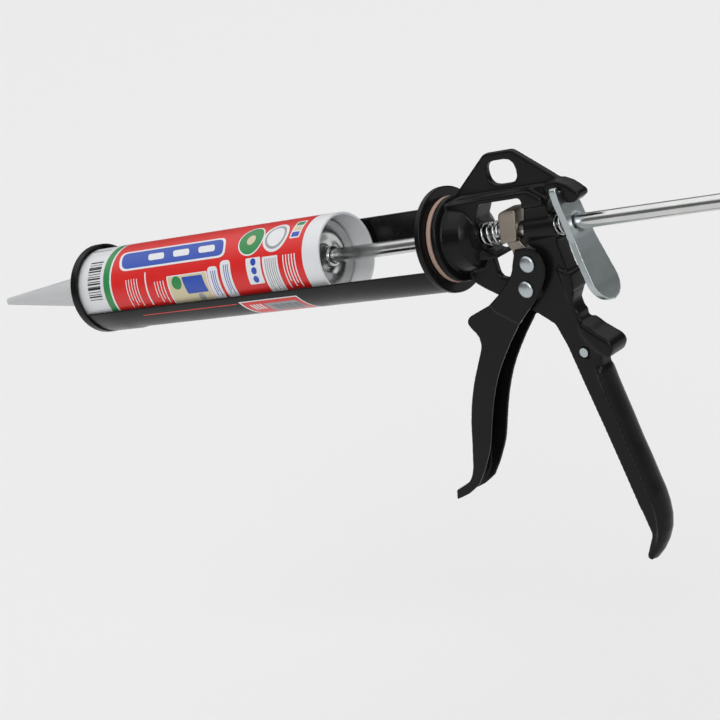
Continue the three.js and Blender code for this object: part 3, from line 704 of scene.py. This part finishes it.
def print_ground(sleeve):
    """The red sleeve with its white and green bands, and plain bars on the bare tube in front of it."""
    for quarter in range(4):
        low = -180 + 90 * quarter
        sleeve.block(87.5, 250.5, low, low + 90, 1, RED)
        sleeve.block(250.5, 252.0, low, low + 90, 1, WHITE)
        sleeve.block(252.0, 257.6, low, low + 90, 1, GREEN)
    for i, width in enumerate(BAR_WIDTHS):
        low = -3 + 3.7 * i
        sleeve.block(260.5, 272.0, low, low + 1.15 * width, 1, DARK)
    for i in range(5):
        low = 80 + 14 * i
        sleeve.block(262.0, 278.0, low, low + 3, 1, GREY)


def print_title(sleeve):
    """A long blue panel with three plain blocks."""
    sleeve.block(150.0, 243.0, 33, 66, 2, WHITE, 4.0, 6.0)
    sleeve.block(152.0, 241.0, 36, 63, 3, BLUE, 3.6, 5.0)
    for left in (160.0, 182.0, 204.0):
        sleeve.block(left, left + 14.0, 44, 55, 4, WHITE, 2.0, 2.0)


def print_front(sleeve):
    """Paragraphs, a picture panel, two bottle shapes and a column of dots, below the title."""
    sleeve.lines(227.0, 239.0, -22, 20, 5, WHITE, gap=0.72)
    sleeve.lines(219.0, 222.0, -22, 27, 1, WHITE)
    sleeve.lines(204.0, 214.0, -22, 12, 4, WHITE, gap=0.72)
    sleeve.block(166.0, 201.0, -27, 17, 2, WHITE, 0.0, 1.0)
    sleeve.block(167.0, 200.0, -25.5, 15.5, 3, YELLOW, 0.0, 1.0)
    sleeve.block(168.5, 186.0, -12, 13, 4, BLUE, 2.0, 1.0)
    sleeve.disc(193.0, 6, 4.2, 4, GREEN)
    sleeve.disc(176.0, -19, 2.6, 4, GREY)
    for left, top in ((157.0, 22), (146.0, 28)):
        sleeve.block(left, left + 8.6, -29, top, 2, WHITE, 0.0, 3.0)
        sleeve.lines(left + 2.0, left + 6.8, -22, top - 6, 3, BLUE, 3)
    sleeve.block(121.0, 133.0, -11, 26, 2, WHITE, 0.0, 1.0)
    for middle in (-4, 8, 20):
        sleeve.disc(127.0, middle, 2.2, 3, BLUE)
    sleeve.block(107.0, 119.5, -29, 25, 2, WHITE, 0.0, 0.8)
    sleeve.lines(108.5, 118.5, -26, 22, 6, GREY, 3)
    sleeve.lines(93.0, 104.5, -24, 24, 5, WHITE, gap=0.62)


def print_badges(sleeve):
    """Two round badges and a small block of colour patches, behind the title."""
    sleeve.disc(131.0, 53, 10.3, 2, WHITE)
    sleeve.disc(131.0, 53, 9.4, 3, GREEN)
    sleeve.disc(131.0, 53, 3.4, 4, YELLOW)
    sleeve.disc(111.0, 53, 10.0, 2, WHITE)
    sleeve.disc(111.0, 53, 8.2, 3, GREY)
    sleeve.disc(111.0, 53, 6.6, 4, WHITE)
    sleeve.block(91.0, 99.0, 46, 78, 2, WHITE, 0.0, 1.0)
    for low, ink in ((48, BLUE), (58, YELLOW), (68, GREEN)):
        sleeve.block(92.0, 98.0, low, low + 8, 3, ink, 0.0, 0.8)


def print_back(sleeve):
    """A page of lines, a white table and a second title panel, on the side away from the title."""
    sleeve.lines(140.0, 240.0, 112, 160, 26, WHITE)
    sleeve.block(100.0, 132.0, 108, 165, 2, WHITE, 0.0, 1.0)
    sleeve.lines(102.0, 130.0, 112, 158, 9, GREY, 3)
    sleeve.block(150.0, 243.0, -152, -119, 2, WHITE, 4.0, 6.0)
    sleeve.block(152.0, 241.0, -149, -122, 3, BLUE, 3.6, 5.0)


def on_tube(along, around, layer):
    """A printed point on the tube; around is millimetres round it."""
    return round_rod(along, TUBE_RADIUS + LAYER * layer, around / TUBE_RADIUS)


sleeve = Sleeve()
for print_part in (print_ground, print_title, print_front, print_badges, print_back):
    print_part(sleeve)
label = bent_sheet("cartridge_label", sleeve.shapes, on_tube)
show("cartridge_label", label, "cradle", INKS)


def sticker_shapes():
    """A red sticker with a pale border and a plain bar panel, and a thin red line in front of it."""
    shapes = [
        (box_outline(96.0, 144.0, -32.0, -14.6, 4.0, 0.8), 1, WHITE),
        (box_outline(97.2, 142.6, -31.2, -15.4, 3.8, 0.8), 2, RED),
        (box_outline(101.0, 127.5, -28.8, -18.2, 2.4, 0.6), 3, GREY),
        (box_outline(150.0, 232.0, -16.4, -15.7), 1, RED),
    ]
    for i in range(13):
        left = 103.0 + 1.8 * i
        width = (0.5, 0.9, 0.7)[i % 3]
        shapes.append((box_outline(left, left + width, -27.6, -20.0), 4, DARK))
    for i in range(4):
        left = 131.0 + 2.6 * i
        shapes.append((box_outline(left, left + 1.5, -24.0, -18.0, 1.0), 3, WHITE))
    return shapes


def on_arm(along, around, layer):
    """A printed point on the left arm; around is millimetres round its front end."""
    return round_rod(along, arm_radius(along) + LAYER * layer, around / ARM_OUTER)


sticker = bent_sheet("arm_sticker", sticker_shapes(), on_arm)
show("arm_sticker", sticker, "cradle", INKS)

# ------------------------------------------------------------------ pieces shown as they are in the CAD

PLAIN = {
    "handle_pin": PART_PLATE,
    "rod_nut": PART_PLATE,
    "wave_washer": SPRING_WIRE,
    "retaining_ring": SPRING_WIRE,
}
for node, material in PLAIN.items():
    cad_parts[node].data.materials.clear()
    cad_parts[node].data.materials.append(material)
